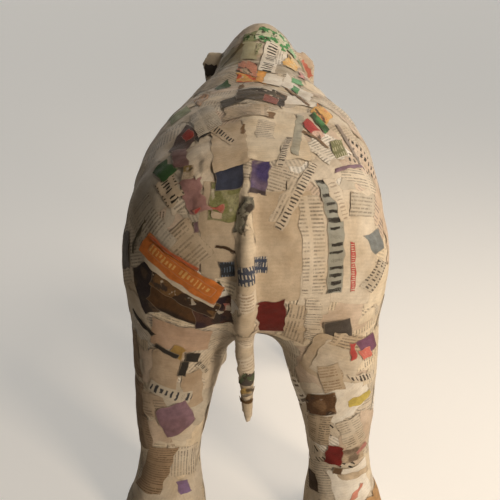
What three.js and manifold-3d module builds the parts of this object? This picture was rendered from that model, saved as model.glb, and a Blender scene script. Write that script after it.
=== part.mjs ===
// A papier-mache elephant calf: one closed paper body standing on four column legs.
// Barrel, rump, legs, neck and head are a smooth blend of simple masses, written as a distance
// field and skinned with one net of quads. Ears, trunk and tail are rolled and joined on.
// Millimetres, +Z up, +Y towards the head, +X to the animal's right; the floor is Z = 0.
import * as THREE from "three";
import Module from "manifold-3d";

// ---- Driving dimensions ----------------------------------------------------------------------

// The barrel, as stations from the rump forward: [y, half width, back height, belly height].
const BARREL = [
  [0, 124, 441, 250],
  [70, 130, 456, 224],
  [160, 130, 461, 206],
  [250, 121, 455, 208],
  [320, 96, 445, 232],
];
const BARREL_SQUARENESS = 2.7; // of its cross-section: 2 is an ellipse, more is boxier
const RUMP_LENGTH = 92; // from the first station back to the rearmost point
const CHEST_LENGTH = 74; // from the last station forward to the front of the chest
const BACK_LEAN = { above: 340, slope: 0.025 }; // the hand-built back leans a little to its right

// The legs, as stations from the floor up: [z, centre x, half width, half depth, centre y].
const HIND_LEG = [
  [0, 104.5, 49, 50, 0],
  [24, 101.5, 44, 46, 0],
  [78, 95.5, 33, 37, -1],
  [150, 88.5, 39, 46, 0],
  [220, 79, 49, 60, 6],
  [300, 69, 57, 74, 16],
];
const FRONT_LEG = [
  [0, 97, 46, 48, 342],
  [24, 95, 41, 44, 342],
  [78, 91, 33, 36, 342],
  [150, 86, 37, 42, 342],
  [220, 78, 42, 52, 338],
  [310, 66, 50, 64, 330],
];
const LEGS_MIDDLE = 1.5; // the legs stand this far to the right of the middle line
const LEG_SQUARENESS = 2.2;
const LEG_CAP = 70; // rounding of the buried upper end

// The head: each mass is [centre x, y, z], [radius x, y, z]; the paired ones are repeated at -x.
const CRANIUM = [[0, 384, 439], [50, 62, 78]];
const FACE = [[0, 428, 398], [43, 44, 66]];
const JAW = [[0, 418, 344], [24, 36, 22]];
const CHEEK = [[28, 404, 392], [26, 44, 44]];
const BROW = [[22, 436, 436], [20, 18, 15]];
const EYE = [[37, 440, 416], [9, 9, 8]];
const NECK = { from: [0, 290, 402], to: [0, 384, 430], radii: [78, 56] };

// The ear: a thin flap with a small round top and a broad lower lobe. Its outline is
// [out, up] from the top of the ear's middle, and its inner edge is buried in the head.
const EAR = {
  outline: [
    [-24, -24],
    [-8, -3],
    [8, 0],
    [22, -13],
    [27, -42],
    [38, -82],
    [30, -112],
    [4, -130],
    [-22, -100],
  ],
  middle: [6, -60],
  y: 392,
  top: 480,
  thick: 9,
  cup: 0.006, // how fast it curls forward away from its middle
  sweep: 0.3, // how far its outer edge is turned back, in radians
  leanDepth: 52, // the depth over which its top leans out
  rings: [0.4, 0.9, 1.3, 1.57, 1.84, 2.24, 2.74], // turns round its pillowed edge, in radians
  pillow: 0.8, // how squarely its faces run out to the edge
  edgePoints: 24,
  left: { x: -66, lean: -0.33 }, // where its top is, and how far it leans for each mm up
  right: { x: 57, lean: 0.12 },
};

// The trunk, as stations from the root to the tip: [x, y, z, radius].
const TRUNK = [
  [0, 420, 426, 36],
  [0, 450, 376, 39],
  [0, 470, 318, 31],
  [0, 477, 256, 25],
  [0, 476, 196, 20],
  [0, 486, 150, 17],
  [0, 512, 128, 16],
];

// The tail, as stations from the root down: [z, x, radius]. It lies on the rump down to TAIL_FREE.
const TAIL = [
  [436, -4, 2.5],
  [400, -4, 4],
  [350, -4.5, 6.5],
  [305, -6.5, 8.2],
  [262, -8, 8.8],
  [215, -5.5, 7],
  [188, -4.5, 5.2],
  [170, -4.5, 4.2],
];
const TAIL_FREE = 270;
const TAIL_PROUD = 0.55; // how far its middle stands off the rump, as a share of its radius
const RIDGE = { from: 30, to: 290, radius: 12, sunk: 9 }; // the low ridge along the spine

const BLEND = { leg: 34, neck: 40, head: 22, detail: 7, ridge: 16 }; // size of the fillets
const LUMP = { height: 1.1, wave: 46 }; // the unevenness of hand-laid paper

// Grid planes of the net along each axis: from the first value in steps, up to each limit.
const GRID = {
  x: { from: -172.5, runs: [{ step: 15, upTo: 172 }] },
  y: {
    from: -112,
    runs: [{ step: 13, upTo: 70 }, { step: 22, upTo: 285 }, { step: 14.5, upTo: 500 }],
  },
  z: {
    from: -18,
    runs: [{ step: 12, upTo: 42 }, { step: 18, upTo: 195 }, { step: 15.5, upTo: 540 }],
  },
};
const SOLE_LAYER = 6; // the cells that lie across the floor reach this far above and below it
const EASING = { rounds: 3, settling: 2, reach: 0.5 }; // passes over the net, and the slope's reach

// Facets of the rolled parts: sides round, and rings along.
const ROLLED = {
  trunk: { sides: 14, steps: 22 },
  tail: { sides: 10, steps: 28 },
  roundEnd: [0.6, 1.2], // the rings of a rounded end, as angles towards its tip
};
const TAIL_STATIONS = 14;

// ---- Small maths -----------------------------------------------------------------------------

// A smooth curve through rows of [at, value, ...]: it returns the values at t, held past both ends.
function track(rows) {
  const slope = (i, k) => {
    const a = rows[Math.max(i - 1, 0)];
    const b = rows[Math.min(i + 1, rows.length - 1)];
    return (b[k] - a[k]) / (b[0] - a[0]);
  };
  return (t) => {
    const at = Math.min(Math.max(t, rows[0][0]), rows.at(-1)[0]);
    let i = 0;
    while (i < rows.length - 2 && at > rows[i + 1][0]) i++;
    const [a, b] = [rows[i], rows[i + 1]];
    const span = b[0] - a[0];
    const u = (at - a[0]) / span;
    const values = [];
    for (let k = 1; k < a.length; k++)
      values.push(
        a[k] * (1 + 2 * u) * (1 - u) ** 2 +
          b[k] * u * u * (3 - 2 * u) +
          span * slope(i, k) * u * (1 - u) ** 2 +
          span * slope(i + 1, k) * u * u * (u - 1),
      );
    return values;
  };
}

// Union of two distances with a fillet of about the given size.
function blend(a, b, size) {
  const h = Math.max(size - Math.abs(a - b), 0) / size;
  return Math.min(a, b) - h * h * size * 0.25;
}

// Distance to a rounded solid: offsets from its centre, its half sizes, and how boxy it is.
function roundSolid([x, y, z], [halfX, halfY, halfZ], power) {
  const tiny = 1e-6;
  const [u, v, w] = [Math.abs(x) / halfX + tiny, Math.abs(y) / halfY + tiny, Math.abs(z) / halfZ + tiny];
  const norm = (u ** power + v ** power + w ** power) ** (1 / power);
  const steepness = Math.hypot(
    (u / norm) ** (power - 1) / halfX,
    (v / norm) ** (power - 1) / halfY,
    (w / norm) ** (power - 1) / halfZ,
  );
  return (norm - 1) / steepness;
}

function ellipsoid([x, y, z], [centre, radii]) {
  return roundSolid([x - centre[0], y - centre[1], z - centre[2]], radii, 2);
}

// Distance to a rod whose radius changes evenly from one end to the other.
function taperedRod([x, y, z], [ax, ay, az], [bx, by, bz], [radiusA, radiusB]) {
  const [dx, dy, dz] = [bx - ax, by - ay, bz - az];
  const [px, py, pz] = [x - ax, y - ay, z - az];
  const along = (dx * px + dy * py + dz * pz) / (dx * dx + dy * dy + dz * dz);
  const u = Math.min(Math.max(along, 0), 1);
  return Math.hypot(px - dx * u, py - dy * u, pz - dz * u) - (radiusA + (radiusB - radiusA) * u);
}

// ---- The blended masses ----------------------------------------------------------------------

const barrelAt = track(BARREL);
function barrel([x, y, z]) {
  const [first, last] = [BARREL[0][0], BARREL.at(-1)[0]];
  const [halfWidth, back, belly] = barrelAt(y);
  const halfHeight = (back - belly) / 2;
  const middle = Math.max(z - BACK_LEAN.above, 0) * BACK_LEAN.slope;
  const past = y < first ? (first - y) / RUMP_LENGTH : Math.max(y - last, 0) / CHEST_LENGTH;
  const across = (Math.abs(x - middle) / halfWidth) ** BARREL_SQUARENESS;
  const upright = (Math.abs(z - (back + belly) / 2) / halfHeight) ** BARREL_SQUARENESS;
  const section = (across + upright) ** (1 / BARREL_SQUARENESS);
  return (Math.hypot(section, past) - 1) * Math.min(halfWidth, halfHeight);
}

// A pair of legs, left and right.
function legPair(stations) {
  const at = track(stations);
  const top = stations.at(-1)[0];
  return ([x, y, z]) => {
    const [centreX, halfX, halfY, centreY] = at(z);
    const offsets = [Math.abs(x - LEGS_MIDDLE) - centreX, y - centreY, Math.max(z - top, 0)];
    return roundSolid(offsets, [halfX, halfY, LEG_CAP], LEG_SQUARENESS);
  };
}
const hindLegs = legPair(HIND_LEG);
const frontLegs = legPair(FRONT_LEG);

function head(p) {
  const side = [Math.abs(p[0]), p[1], p[2]];
  let d = blend(ellipsoid(p, CRANIUM), ellipsoid(p, FACE), BLEND.head);
  d = blend(d, ellipsoid(p, JAW), BLEND.head);
  d = blend(d, ellipsoid(side, CHEEK), BLEND.head);
  d = blend(d, ellipsoid(side, BROW), BLEND.detail);
  return blend(d, ellipsoid(side, EYE), BLEND.detail);
}

const backAt = (y) => barrelAt(y)[1] - RIDGE.sunk;
function spine(p) {
  const middle = (RIDGE.from + RIDGE.to) / 2;
  const [from, mid, to] = [RIDGE.from, middle, RIDGE.to].map((y) => [0, y, backAt(y)]);
  const radii = [RIDGE.radius, RIDGE.radius];
  return Math.min(taperedRod(p, from, mid, radii), taperedRod(p, mid, to, radii));
}

// Low, broad lumps left by the layers of pasted paper.
function lumps([x, y, z]) {
  const k = (2 * Math.PI) / LUMP.wave;
  const a = Math.sin(k * (x + 0.6 * z)) * Math.sin(k * (0.8 * y - 0.3 * z) + 1.3);
  const b = Math.sin(k * (0.7 * z + 0.2 * y) + 0.5) * Math.sin(k * (0.9 * x - 0.4 * y) + 2.1);
  return (LUMP.height * (a + b)) / 2;
}

// Distance to the skin of everything but the ears, trunk and tail; negative inside.
function skin(p) {
  let d = blend(barrel(p), hindLegs(p), BLEND.leg);
  d = blend(d, frontLegs(p), BLEND.leg);
  d = blend(d, taperedRod(p, NECK.from, NECK.to, NECK.radii), BLEND.neck);
  d = blend(d, head(p), BLEND.neck);
  return blend(d, spine(p), BLEND.ridge) + lumps(p);
}

// ---- Skinning --------------------------------------------------------------------------------

function planes({ from, runs }) {
  const at = [from];
  for (const { step, upTo } of runs) while (at.at(-1) < upTo - 0.01) at.push(at.at(-1) + step);
  return at;
}

// A vertex in each grid cell that the surface crosses, and a quad round each crossed grid edge.
function surfaceNet(field, [xs, ys, zs]) {
  const [nx, ny, nz] = [xs.length, ys.length, zs.length];
  const at = (i, j, k) => (k * ny + j) * nx + i;
  const place = (i, j, k) => [xs[i], ys[j], zs[k]];
  const value = new Float64Array(nx * ny * nz);
  const vertexOf = new Int32Array(nx * ny * nz).fill(-1);
  const eachCell = (margin, visit) => {
    for (let k = margin; k < nz - 1; k++)
      for (let j = margin; j < ny - 1; j++) for (let i = margin; i < nx - 1; i++) visit(i, j, k);
  };
  for (let k = 0; k < nz; k++)
    for (let j = 0; j < ny; j++)
      for (let i = 0; i < nx; i++) value[at(i, j, k)] = field(place(i, j, k));

  const edges = [];
  for (let corner = 0; corner < 8; corner++)
    for (const bit of [1, 2, 4]) if (!(corner & bit)) edges.push([corner, corner | bit]);
  const points = [];
  eachCell(0, (i, j, k) => {
    const sum = [0, 0, 0];
    let crossings = 0;
    for (const [a, b] of edges) {
      const from = [i + (a & 1), j + ((a >> 1) & 1), k + (a >> 2)];
      const to = [i + (b & 1), j + ((b >> 1) & 1), k + (b >> 2)];
      const [valueA, valueB] = [value[at(...from)], value[at(...to)]];
      if (valueA < 0 === valueB < 0) continue;
      const u = valueA / (valueA - valueB);
      const [placeA, placeB] = [place(...from), place(...to)];
      for (let n = 0; n < 3; n++) sum[n] += placeA[n] + (placeB[n] - placeA[n]) * u;
      crossings++;
    }
    if (!crossings) return;
    vertexOf[at(i, j, k)] = points.length;
    points.push(sum.map((v) => v / crossings));
  });

  const quads = [];
  const stride = [1, nx, nx * ny];
  eachCell(1, (i, j, k) => {
    const here = at(i, j, k);
    const inside = value[here] < 0;
    for (let n = 0; n < 3; n++) {
      if (inside === value[here + stride[n]] < 0) continue;
      const [s, t] = [stride[(n + 1) % 3], stride[(n + 2) % 3]];
      const ring = [here - s - t, here - t, here, here - s].map((c) => vertexOf[c]);
      quads.push(inside ? ring : ring.reverse());
    }
  });
  return { points, quads };
}

// Moves a point onto the skin along the field's slope; a grounded point keeps its height.
function settle(p, grounded) {
  const { reach } = EASING;
  for (let pass = 0; pass < EASING.settling; pass++) {
    const here = skin(p);
    const slope = [0, 1, 2].map((n) => {
      if (grounded && n === 2) return 0;
      const beside = [...p];
      beside[n] += reach;
      return (skin(beside) - here) / reach;
    });
    const steep = slope[0] ** 2 + slope[1] ** 2 + slope[2] ** 2;
    for (let n = 0; n < 3; n++) p[n] -= (slope[n] * here) / steep;
  }
}

// The net with its vertices evened out and settled on the skin, its soles flat on the floor.
function bodyNet() {
  const axes = [planes(GRID.x), planes(GRID.y), planes(GRID.z)];
  const { points, quads } = surfaceNet((p) => Math.max(skin(p), -p[2]), axes);
  const near = points.map(() => new Set());
  for (const quad of quads)
    quad.forEach((v, i) => near[v].add(quad[(i + 1) % 4]).add(quad[(i + 3) % 4]));
  const onFloor = points.map((p) => p[2] < SOLE_LAYER);
  const rim = points.map((p, i) => onFloor[i] && [...near[i]].some((n) => !onFloor[n]));
  for (let round = 0; round < EASING.rounds; round++) {
    const eased = points.map((p, i) => {
      const around = [...near[i]].filter((n) => !rim[i] || rim[n]);
      return p.map((v, n) => (v + around.reduce((sum, m) => sum + points[m][n], 0) / around.length) / 2);
    });
    eased.forEach((p, i) => {
      if (onFloor[i]) p[2] = 0;
      if (!onFloor[i] || rim[i]) settle(p, onFloor[i]);
      points[i] = p;
    });
  }
  const gap = (a, b) => Math.hypot(...points[a].map((v, n) => v - points[b][n]));
  const edge = (a, b) => Math.min(a, b) * points.length + Math.max(a, b);
  const used = new Set(quads.flatMap((quad) => quad.map((v, i) => edge(v, quad[(i + 1) % 4]))));
  const faces = quads.flatMap(([a, b, c, d]) => {
    const across = used.has(edge(b, d)) || (gap(a, c) < gap(b, d) && !used.has(edge(a, c)));
    used.add(across ? edge(a, c) : edge(b, d));
    return across ? [a, b, c, a, c, d] : [a, b, d, b, c, d];
  });
  return { points, faces };
}

// ---- Rolled parts ----------------------------------------------------------------------------

// Triangles over rows of equal length that close on themselves, with a point at each end.
function capRows(rows) {
  const sides = rows[0].length;
  const points = rows.flat();
  const middle = (row) => [0, 1, 2].map((n) => row.reduce((sum, p) => sum + p[n], 0) / sides);
  const [start, end] = [points.length, points.length + 1];
  points.push(middle(rows[0]), middle(rows.at(-1)));
  const faces = [];
  for (let i = 0; i < sides; i++) {
    const j = (i + 1) % sides;
    faces.push(start, j, i);
    for (let row = 0; row + 1 < rows.length; row++) {
      const [a, b] = [row * sides, (row + 1) * sides];
      faces.push(a + i, a + j, b + j, a + i, b + j, b + i);
    }
    const last = (rows.length - 1) * sides;
    faces.push(last + i, last + j, end);
  }
  return { points, faces };
}

// A rod through [x, y, z, radius] stations, with round ends.
function rolledRod(stations, { sides, steps }) {
  const path = new THREE.CatmullRomCurve3(
    stations.map(([x, y, z]) => new THREE.Vector3(x, y, z)),
    false,
    "centripetal",
  );
  const radiusAt = track(stations.map((station, i) => [i / (stations.length - 1), station[3]]));
  const rings = [];
  const ring = (centre, tangent, radius) => {
    const row = [];
    for (let i = 0; i < sides; i++) {
      const turn = (2 * Math.PI * i) / sides;
      const [across, along] = [Math.cos(turn) * radius, Math.sin(turn) * radius];
      row.push([centre.x - across, centre.y - tangent.z * along, centre.z + tangent.y * along]);
    }
    rings.push(row);
  };
  const roundEnd = (u, way, leans) => {
    const [centre, tangent, [radius]] = [path.getPoint(u), path.getTangent(u), radiusAt(u)];
    for (const lean of leans) {
      const past = centre.clone().addScaledVector(tangent, way * radius * Math.sin(lean));
      ring(past, tangent, radius * Math.cos(lean));
    }
  };
  roundEnd(0, -1, [...ROLLED.roundEnd].reverse());
  for (let i = 0; i <= steps; i++) {
    const u = i / steps;
    ring(path.getPoint(u), path.getTangent(u), radiusAt(u)[0]);
  }
  roundEnd(1, 1, ROLLED.roundEnd);
  return capRows(rings);
}

// Where the rump's surface lies at a given place across it and height.
function rumpY(x, z) {
  const halvings = 20;
  let [outside, inside] = [-2 * RUMP_LENGTH, BARREL[1][0]];
  for (let i = 0; i < halvings; i++) {
    const y = (outside + inside) / 2;
    if (skin([x, y, z]) > 0) outside = y;
    else inside = y;
  }
  return inside;
}

function tail() {
  const at = track([...TAIL].reverse());
  const [root, tip] = [TAIL[0][0], TAIL.at(-1)[0]];
  const stations = [];
  for (let i = 0; i <= TAIL_STATIONS; i++) {
    const z = root + ((tip - root) * i) / TAIL_STATIONS;
    const [x, radius] = at(z);
    const y = rumpY(x, Math.max(z, TAIL_FREE)) - radius * TAIL_PROUD;
    stations.push([x, y, z, radius]);
  }
  return rolledRod(stations, ROLLED.tail);
}

// A pillow-edged flap, built up in rings from the middle of its front round to its back.
function ear({ x: topX, lean }) {
  const side = Math.sign(topX);
  const edge = new THREE.CatmullRomCurve3(
    EAR.outline.map(([out, up]) => new THREE.Vector3(out, up, 0)),
    true,
  ).getSpacedPoints(EAR.edgePoints);
  edge.pop();
  const [sin, cos] = [Math.sin(EAR.sweep), Math.cos(EAR.sweep)];
  const rings = [];
  for (const tilt of EAR.rings) {
    const size = Math.sin(tilt) ** EAR.pillow;
    const row = edge.map((p) => {
      const out = EAR.middle[0] + (p.x - EAR.middle[0]) * size;
      const up = EAR.middle[1] + (p.y - EAR.middle[1]) * size;
      const through = (Math.cos(tilt) * EAR.thick) / 2 + EAR.cup * out * out;
      const leaning = Math.max(up, -EAR.leanDepth) * lean;
      const x = topX + side * (out * cos + through * sin) + leaning;
      return [x, EAR.y + through * cos - out * sin, EAR.top + up];
    });
    rings.push(side > 0 ? row.reverse() : row);
  }
  return capRows(rings);
}

// ---- Joining ---------------------------------------------------------------------------------

const wasm = await Module();
wasm.setup();

function solidOf({ points, faces }) {
  const vertProperties = new Float32Array(points.flat());
  return new wasm.Manifold(
    new wasm.Mesh({ numProp: 3, vertProperties, triVerts: new Uint32Array(faces) }),
  );
}

// One closed surface, with the middle of its footprint at the origin.
function paperShell() {
  let whole = solidOf(bodyNet());
  for (const rolled of [rolledRod(TRUNK, ROLLED.trunk), tail(), ear(EAR.left), ear(EAR.right)])
    whole = whole.add(solidOf(rolled));
  const mesh = whole.getMesh();
  const geometry = new THREE.BufferGeometry();
  geometry.setAttribute("position", new THREE.BufferAttribute(mesh.vertProperties, mesh.numProp));
  geometry.setIndex(new THREE.BufferAttribute(mesh.triVerts, 1));
  geometry.computeBoundingBox();
  const middle = geometry.boundingBox.getCenter(new THREE.Vector3());
  geometry.translate(-middle.x, -middle.y, 0);
  geometry.computeVertexNormals();
  return geometry;
}

const paper = new THREE.MeshStandardMaterial({ color: 0xc9b89c, roughness: 0.7, metalness: 0 });
const shell = new THREE.Mesh(paperShell(), paper);
shell.name = "paper_shell";

const elephant = new THREE.Group();
elephant.add(shell);
export default elephant;
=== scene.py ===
import math
import random

import bmesh
import bpy
import numpy as np
from mathutils import Matrix, Vector, noise
from mathutils.bvhtree import BVHTree


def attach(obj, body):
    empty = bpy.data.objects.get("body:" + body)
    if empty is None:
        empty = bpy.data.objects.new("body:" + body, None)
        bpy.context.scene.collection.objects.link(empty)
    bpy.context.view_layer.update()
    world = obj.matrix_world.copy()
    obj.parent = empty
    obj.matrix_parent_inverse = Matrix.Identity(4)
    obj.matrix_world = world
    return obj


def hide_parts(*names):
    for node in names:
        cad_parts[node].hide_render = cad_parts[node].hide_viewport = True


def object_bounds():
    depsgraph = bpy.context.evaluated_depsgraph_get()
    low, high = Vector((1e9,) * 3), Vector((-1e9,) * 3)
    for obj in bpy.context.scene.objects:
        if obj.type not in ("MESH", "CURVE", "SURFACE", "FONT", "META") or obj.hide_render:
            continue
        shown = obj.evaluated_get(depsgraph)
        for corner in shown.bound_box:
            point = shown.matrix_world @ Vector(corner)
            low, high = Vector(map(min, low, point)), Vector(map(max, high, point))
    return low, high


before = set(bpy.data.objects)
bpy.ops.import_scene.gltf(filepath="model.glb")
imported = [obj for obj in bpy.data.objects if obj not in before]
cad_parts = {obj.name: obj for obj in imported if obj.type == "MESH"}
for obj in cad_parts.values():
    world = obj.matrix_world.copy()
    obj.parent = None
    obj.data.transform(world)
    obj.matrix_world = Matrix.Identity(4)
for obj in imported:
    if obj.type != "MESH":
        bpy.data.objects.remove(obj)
cad_low, cad_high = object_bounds()

# ---------------------------------------------------------------- paper body
# The animal is a hollow shell of newspaper pasted over a mould. Layer on layer
# of paste and paper leaves soft lumps, shallow wrinkles and rounded edges.
BODY_VOXEL = 0.0033
BODY_SMOOTHING = 4
SOLE_RISE = 0.001
LUMP_HEIGHT, LUMP_SPACING = 0.0011, 0.034
WRINKLE_HEIGHT, WRINKLE_SPACING = 0.00035, 0.011
MERGE_DISTANCE = 1e-5
NO_RIM = 9.0
STAIN, STAIN_SHARE = (0.62, 0.50, 0.34, 1), 0.42
# Painted shade: fold lines are coloured darker where paste stains lie, standing in for the shade in the
# creases.
CREASE_SHADE, CREASE_SHADE_SHARE = (0.22, 0.15, 0.09, 1), 0.30
TORN_RIM, TORN_SHARE = (0.66, 0.57, 0.45, 1), 0.24
# Painted shadow: the outermost rim of each scrap is darkened like a contact shadow under its edge.
EDGE_SHADOW, EDGE_SHADOW_SHARE = (0.16, 0.11, 0.07, 1), 0.30
SMOOTHEST, ROUGHEST = 0.48, 0.72
BUMP_STRENGTH, BUMP_DISTANCE = 0.55, 0.0022
STAINS_PER_METRE, BLOTCHES_PER_METRE, FIBRES_PER_METRE = 26, 130, 900
WRINKLES_PER_METRE, FOLDS_PER_METRE, SHEENS_PER_METRE = 85, 28, 60
BARE_SHEETS = (0.60, 0.52, 0.42, 1), (0.70, 0.64, 0.54, 1)


def smoothed_copy(node, name):
    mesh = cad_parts[node].data.copy()
    body = bpy.data.objects.new(name, mesh)
    bpy.context.scene.collection.objects.link(body)
    joined = bmesh.new()
    joined.from_mesh(mesh)
    bmesh.ops.remove_doubles(joined, verts=joined.verts, dist=MERGE_DISTANCE)
    joined.to_mesh(mesh)
    joined.free()
    rounding = body.modifiers.new("rounding", "SUBSURF")
    rounding.levels = rounding.render_levels = 1
    remesh = body.modifiers.new("remesh", "REMESH")
    remesh.mode = "VOXEL"
    remesh.voxel_size = BODY_VOXEL
    smooth = body.modifiers.new("smooth", "SMOOTH")
    smooth.factor, smooth.iterations = 0.5, BODY_SMOOTHING
    bpy.context.view_layer.update()
    shaped = body.evaluated_get(bpy.context.evaluated_depsgraph_get())
    finished = bpy.data.meshes.new_from_object(shaped)
    body.modifiers.clear()
    body.data = finished
    return body


def crumpled(mesh):
    count = len(mesh.vertices)
    places, normals = np.empty(count * 3), np.empty(count * 3)
    mesh.vertices.foreach_get("co", places)
    mesh.vertices.foreach_get("normal", normals)
    places, normals = places.reshape(-1, 3), normals.reshape(-1, 3)
    heights = [
        noise.noise(Vector(place) / LUMP_SPACING) * LUMP_HEIGHT
        + noise.noise(Vector(place) / WRINKLE_SPACING) * WRINKLE_HEIGHT
        for place in places
    ]
    places = places + normals * np.array(heights)[:, None]
    places[:, 2] = np.maximum(places[:, 2], SOLE_RISE)
    mesh.vertices.foreach_set("co", places.ravel())
    mesh.update()


def group(name, inputs, outputs):
    """A shader node group with its sockets, and the nodes at its two ends."""
    tree = bpy.data.node_groups.new(name, "ShaderNodeTree")
    for label, kind, value in inputs:
        socket = tree.interface.new_socket(label, in_out="INPUT", socket_type="NodeSocket" + kind)
        if value is not None:
            socket.default_value = value
    for label, kind in outputs:
        tree.interface.new_socket(label, in_out="OUTPUT", socket_type="NodeSocket" + kind)
    return tree, tree.nodes.new("NodeGroupInput").outputs, tree.nodes.new("NodeGroupOutput").inputs


def fed(tree, socket, value):
    if isinstance(value, bpy.types.NodeSocket):
        tree.links.new(value, socket)
    else:
        socket.default_value = value


def maths(tree, operation, *values):
    node = tree.nodes.new("ShaderNodeMath")
    node.operation = operation
    for socket, value in zip(node.inputs, values):
        fed(tree, socket, value)
    return node.outputs[0]


def vector_of(tree, x, y, z):
    node = tree.nodes.new("ShaderNodeCombineXYZ")
    for socket, value in zip(node.inputs, (x, y, z)):
        fed(tree, socket, value)
    return node.outputs[0]


def noisy(tree, vector, scale, detail=2.0, roughness=0.5):
    node = tree.nodes.new("ShaderNodeTexNoise")
    fed(tree, node.inputs["Vector"], vector)
    node.inputs["Scale"].default_value = scale
    node.inputs["Detail"].default_value = detail
    node.inputs["Roughness"].default_value = roughness
    return node.outputs["Fac"]


def chance(tree, x, y, z):
    """A value from 0 to 1 that is the same all over a cell."""
    node = tree.nodes.new("ShaderNodeTexWhiteNoise")
    node.noise_dimensions = "3D"
    fed(tree, node.inputs["Vector"], vector_of(tree, x, y, z))
    return node.outputs["Value"]


def ramp(tree, value, low, high, to_low=0.0, to_high=1.0):
    node = tree.nodes.new("ShaderNodeMapRange")
    node.interpolation_type = "SMOOTHSTEP"
    for socket, given in zip(node.inputs, (value, low, high, to_low, to_high)):
        fed(tree, socket, given)
    return node.outputs[0]


def mixed(tree, share, a, b, blend="MIX"):
    node = tree.nodes.new("ShaderNodeMix")
    node.data_type, node.blend_type = "RGBA", blend
    for label, value in (("Factor_Float", share), ("A_Color", a), ("B_Color", b)):
        socket = next(s for s in node.inputs if s.identifier == label)
        fed(tree, socket, value)
    return next(s for s in node.outputs if s.identifier == "Result_Color")


def used(tree, made, **values):
    """The node that puts group `made` to work, with its inputs fed."""
    node = tree.nodes.new("ShaderNodeGroup")
    node.node_tree = made
    for label, value in values.items():
        fed(tree, node.inputs[label], value)
    return node.outputs


def attribute(tree, name, output="Color"):
    node = tree.nodes.new("ShaderNodeAttribute")
    node.attribute_name = name
    return node.outputs[output]


def shifted(tree, place, shift):
    node = tree.nodes.new("ShaderNodeVectorMath")
    node.operation = "ADD"
    fed(tree, node.inputs[0], place)
    fed(tree, node.inputs[1], shift)
    return node.outputs[0]


def scaled(tree, place, factor):
    node = tree.nodes.new("ShaderNodeVectorMath")
    node.operation = "SCALE"
    fed(tree, node.inputs[0], place)
    fed(tree, node.inputs["Scale"], factor)
    return node.outputs[0]


def toned(tree, colour, tone):
    """The colour made lighter or darker by a factor."""
    return mixed(tree, 1.0, colour, vector_of(tree, tone, tone, tone), "MULTIPLY")


def finish_group():
    """Dried paste over paper: stains, fibres and pale torn rims, with painted shade along creases and a
    painted shadow along each scrap's edge.
    """
    tree, given, out = group(
        "pasted_finish",
        [("Printed", "Color", None), ("Torn", "Float", NO_RIM), ("Shift", "Vector", None)],
        [("Colour", "Color"), ("Roughness", "Float"), ("Normal", "Vector")],
    )
    place = tree.nodes.new("ShaderNodeTexCoord").outputs["Object"]
    stain = ramp(tree, noisy(tree, place, STAINS_PER_METRE, 3, 0.6), 0.35, 0.75)
    fibre = noisy(tree, place, FIBRES_PER_METRE, 2, 0.6)
    blotch = noisy(tree, place, BLOTCHES_PER_METRE, 3, 0.6)
    stained = maths(tree, "MULTIPLY", stain, STAIN_SHARE)
    colour = mixed(tree, stained, given["Printed"], STAIN, "MULTIPLY")
    shade = ramp(tree, blotch, 0.2, 0.8, 0.86, 1.06)
    grain = ramp(tree, fibre, 0.2, 0.8, 0.93, 1.05)
    colour = toned(tree, colour, maths(tree, "MULTIPLY", shade, grain))
    fold = noisy(tree, shifted(tree, place, given["Shift"]), FOLDS_PER_METRE, 2, 0.5)
    ridge = maths(tree, "ABSOLUTE", maths(tree, "SUBTRACT", fold, 0.5))
    crease = ramp(tree, ridge, 0.0, 0.035, 1.0, 0.0)
    # Painted shade in the creases: the fold lines are darkened, only where the paste stains are.
    crease_shade = maths(tree, "MULTIPLY", ramp(tree, ridge, 0.0, 0.012, CREASE_SHADE_SHARE, 0.0), stain)
    colour = mixed(tree, crease_shade, colour, CREASE_SHADE)
    ragged = maths(tree, "ADD", given["Torn"], maths(tree, "MULTIPLY_ADD", blotch, 1.6, -0.9))
    colour = mixed(tree, ramp(tree, ragged, 0.15, 0.9, TORN_SHARE, 0.0), colour, TORN_RIM)
    # Painted shadow along each scrap's outermost rim, as if its edge cast a thin shade.
    edge = ramp(tree, given["Torn"], 0.0, 0.6, EDGE_SHADOW_SHARE, 0.0)
    fed(tree, out["Colour"], mixed(tree, edge, colour, EDGE_SHADOW))
    sheen = noisy(tree, place, SHEENS_PER_METRE, 2)
    fed(tree, out["Roughness"], ramp(tree, sheen, 0.3, 0.7, SMOOTHEST, ROUGHEST))
    wrinkle = maths(tree, "MULTIPLY", noisy(tree, place, WRINKLES_PER_METRE, 4, 0.62), 0.55)
    height = maths(tree, "ADD", wrinkle, maths(tree, "MULTIPLY", crease, 0.12))
    height = maths(tree, "ADD", height, maths(tree, "MULTIPLY", fibre, 0.05))
    bump = tree.nodes.new("ShaderNodeBump")
    bump.inputs["Strength"].default_value = BUMP_STRENGTH
    bump.inputs["Distance"].default_value = BUMP_DISTANCE
    fed(tree, bump.inputs["Height"], height)
    fed(tree, out["Normal"], bump.outputs["Normal"])
    return tree


PASTED_FINISH = finish_group()


def paper_material(name, printed):
    """A paper material: `printed(tree)` gives its colour before paste and wear."""
    material = bpy.data.materials.new(name)
    material.use_nodes = True
    tree = material.node_tree
    shader = tree.nodes["Principled BSDF"]
    shift = attribute(tree, "print", "Vector")
    torn = attribute(tree, "torn", "Fac") if name != "body_paper" else NO_RIM
    done = used(tree, PASTED_FINISH, Printed=printed(tree), Torn=torn, Shift=shift)
    fed(tree, shader.inputs["Base Color"], done["Colour"])
    fed(tree, shader.inputs["Roughness"], done["Roughness"])
    fed(tree, shader.inputs["Normal"], done["Normal"])
    shader.inputs["Metallic"].default_value = 0.0
    shader.inputs["IOR"].default_value = 1.46
    shader.inputs["Specular IOR Level"].default_value = 0.26
    return material


def bare_sheet(tree):
    place = tree.nodes.new("ShaderNodeTexCoord").outputs["Object"]
    return mixed(tree, ramp(tree, noisy(tree, place, 18), 0.4, 0.6), *BARE_SHEETS)


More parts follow.
